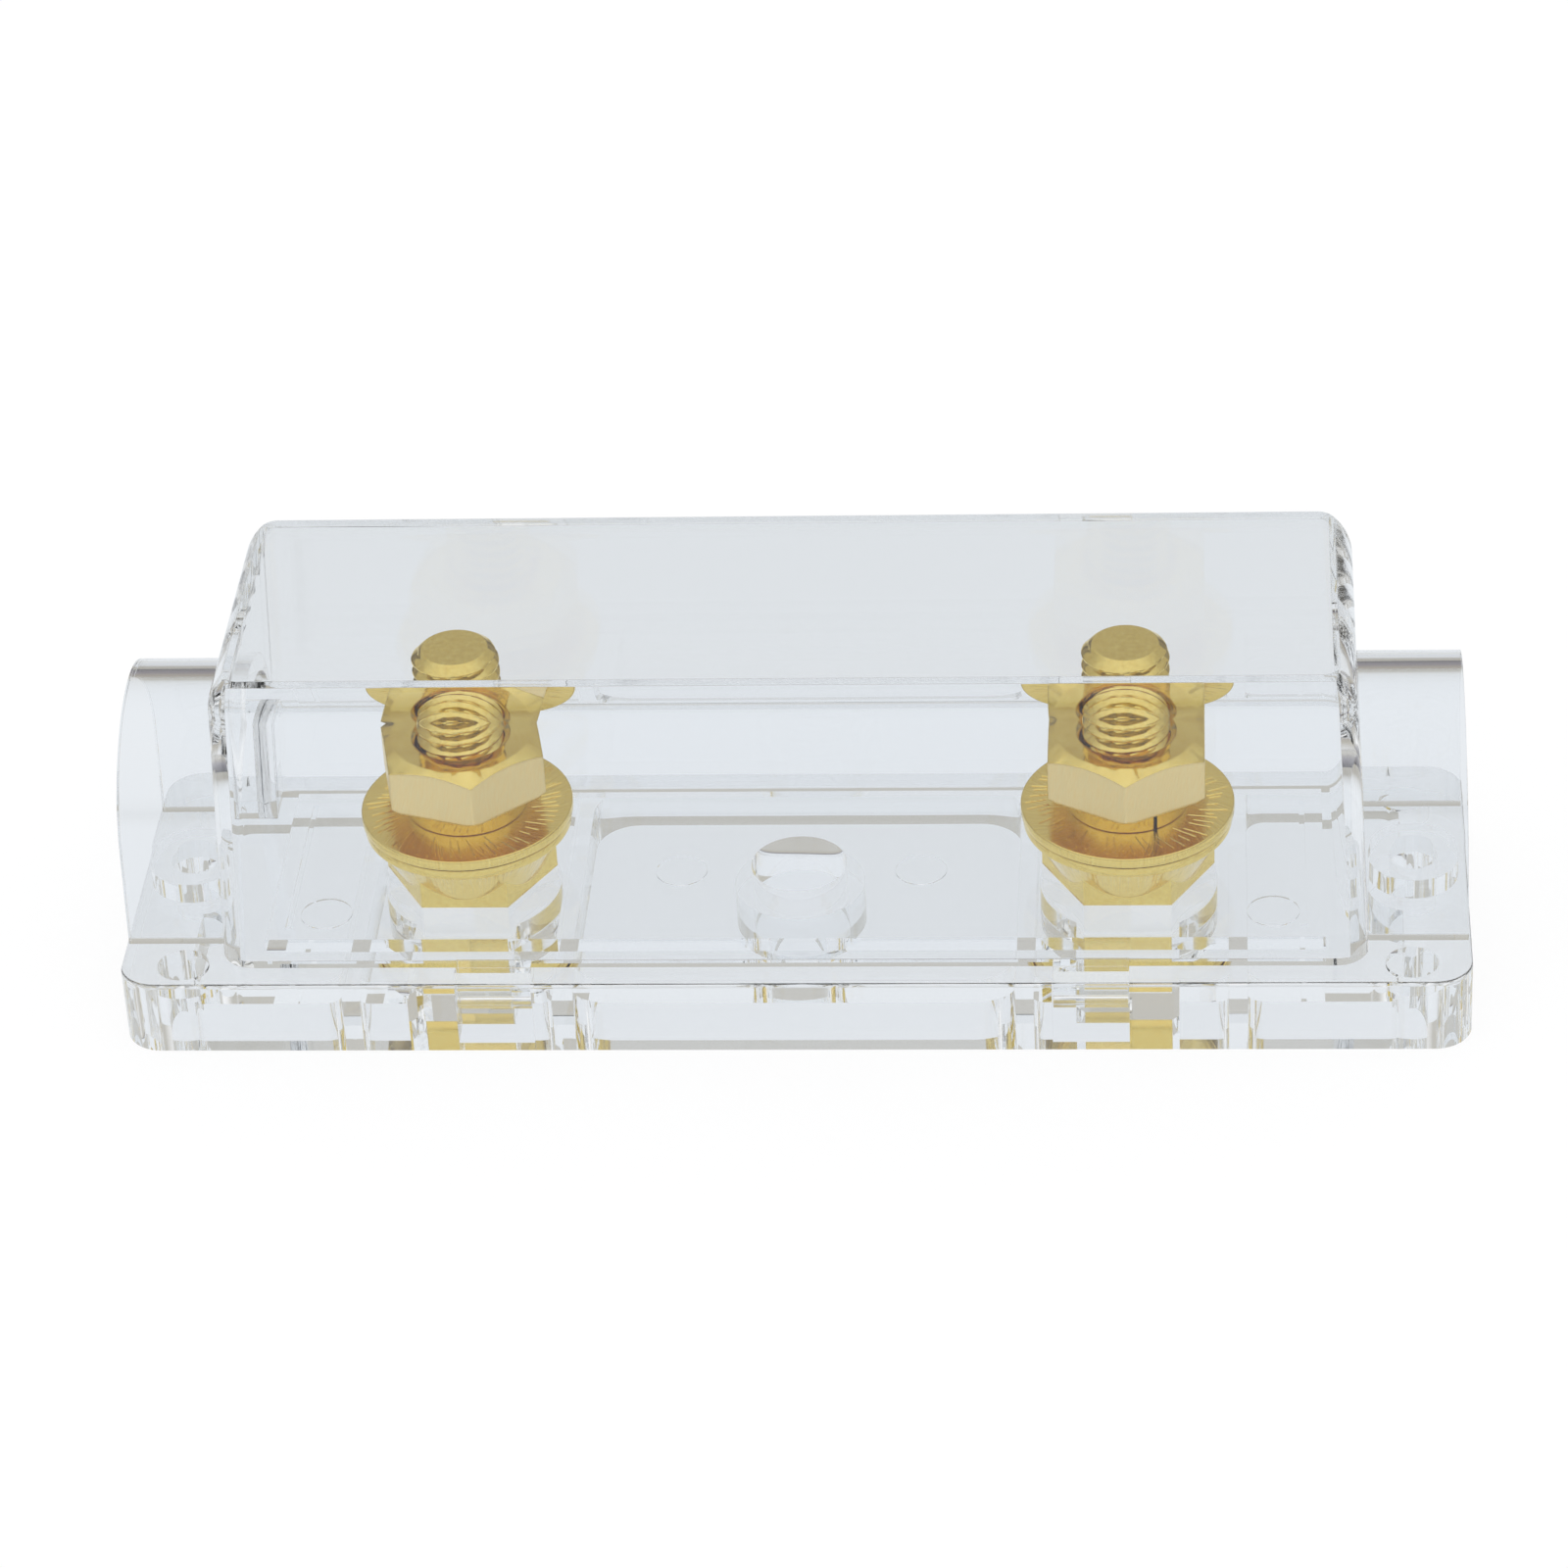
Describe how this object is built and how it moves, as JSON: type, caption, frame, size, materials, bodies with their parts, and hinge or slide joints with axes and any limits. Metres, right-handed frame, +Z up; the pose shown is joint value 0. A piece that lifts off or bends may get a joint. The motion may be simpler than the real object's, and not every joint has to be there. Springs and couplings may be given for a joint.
{
  "type": "anl fuse holder",
  "caption": "Clear panel-mount holder for a bolt-down fuse link, with brass studs under a lift-off cover and a cable arch at each end.",
  "frame": {"origin": "centre of the underside, on the surface that the base stands on", "axes": "+X along the length through both studs, +Y across the base, +Z up"},
  "size_m": [0.1234, 0.0362, 0.0375],
  "materials": {
    "clear_plastic": "clear, polished mould",
    "plated_brass": "bright plated"
  },
  "bodies": {
    "base": {"base": "clear_plastic", "left_stud_bolt": "plated_brass", "left_contact_washer": "plated_brass", "right_stud_bolt": "plated_brass", "right_contact_washer": "plated_brass"},
    "cover": {"cover": "clear_plastic"},
    "left_lock_washer": {"left_lock_washer": "plated_brass"},
    "left_nut": {"left_nut": "plated_brass"},
    "right_lock_washer": {"right_lock_washer": "plated_brass"},
    "right_nut": {"right_nut": "plated_brass"}
  },
  "joints": [
    {"name": "cover_lift", "type": "slide", "parent": "base", "child": "cover", "axis": [0, 0, 1], "range_m": [0, 0.04]},
    {"name": "left_nut_lift", "type": "slide", "parent": "base", "child": "left_lock_washer", "axis": [0, 0, 1], "range_m": [0, 0.01251]},
    {"name": "left_nut_turn", "type": "hinge", "parent": "left_lock_washer", "child": "left_nut", "pos_m": [-0.0305, 0, 0.0208], "axis": [0, 0, 1], "range_deg": [0, 3600]},
    {"name": "right_nut_lift", "type": "slide", "parent": "base", "child": "right_lock_washer", "axis": [0, 0, 1], "range_m": [0, 0.01251]},
    {"name": "right_nut_turn", "type": "hinge", "parent": "right_lock_washer", "child": "right_nut", "pos_m": [0.0305, 0, 0.0208], "axis": [0, 0, 1], "range_deg": [0, 3600]}
  ],
  "couplings": [
    {"joint": "left_nut_lift", "follows": "left_nut_turn", "m_per_rad": 0.00019894},
    {"joint": "right_nut_lift", "follows": "right_nut_turn", "m_per_rad": 0.00019894}
  ]
}
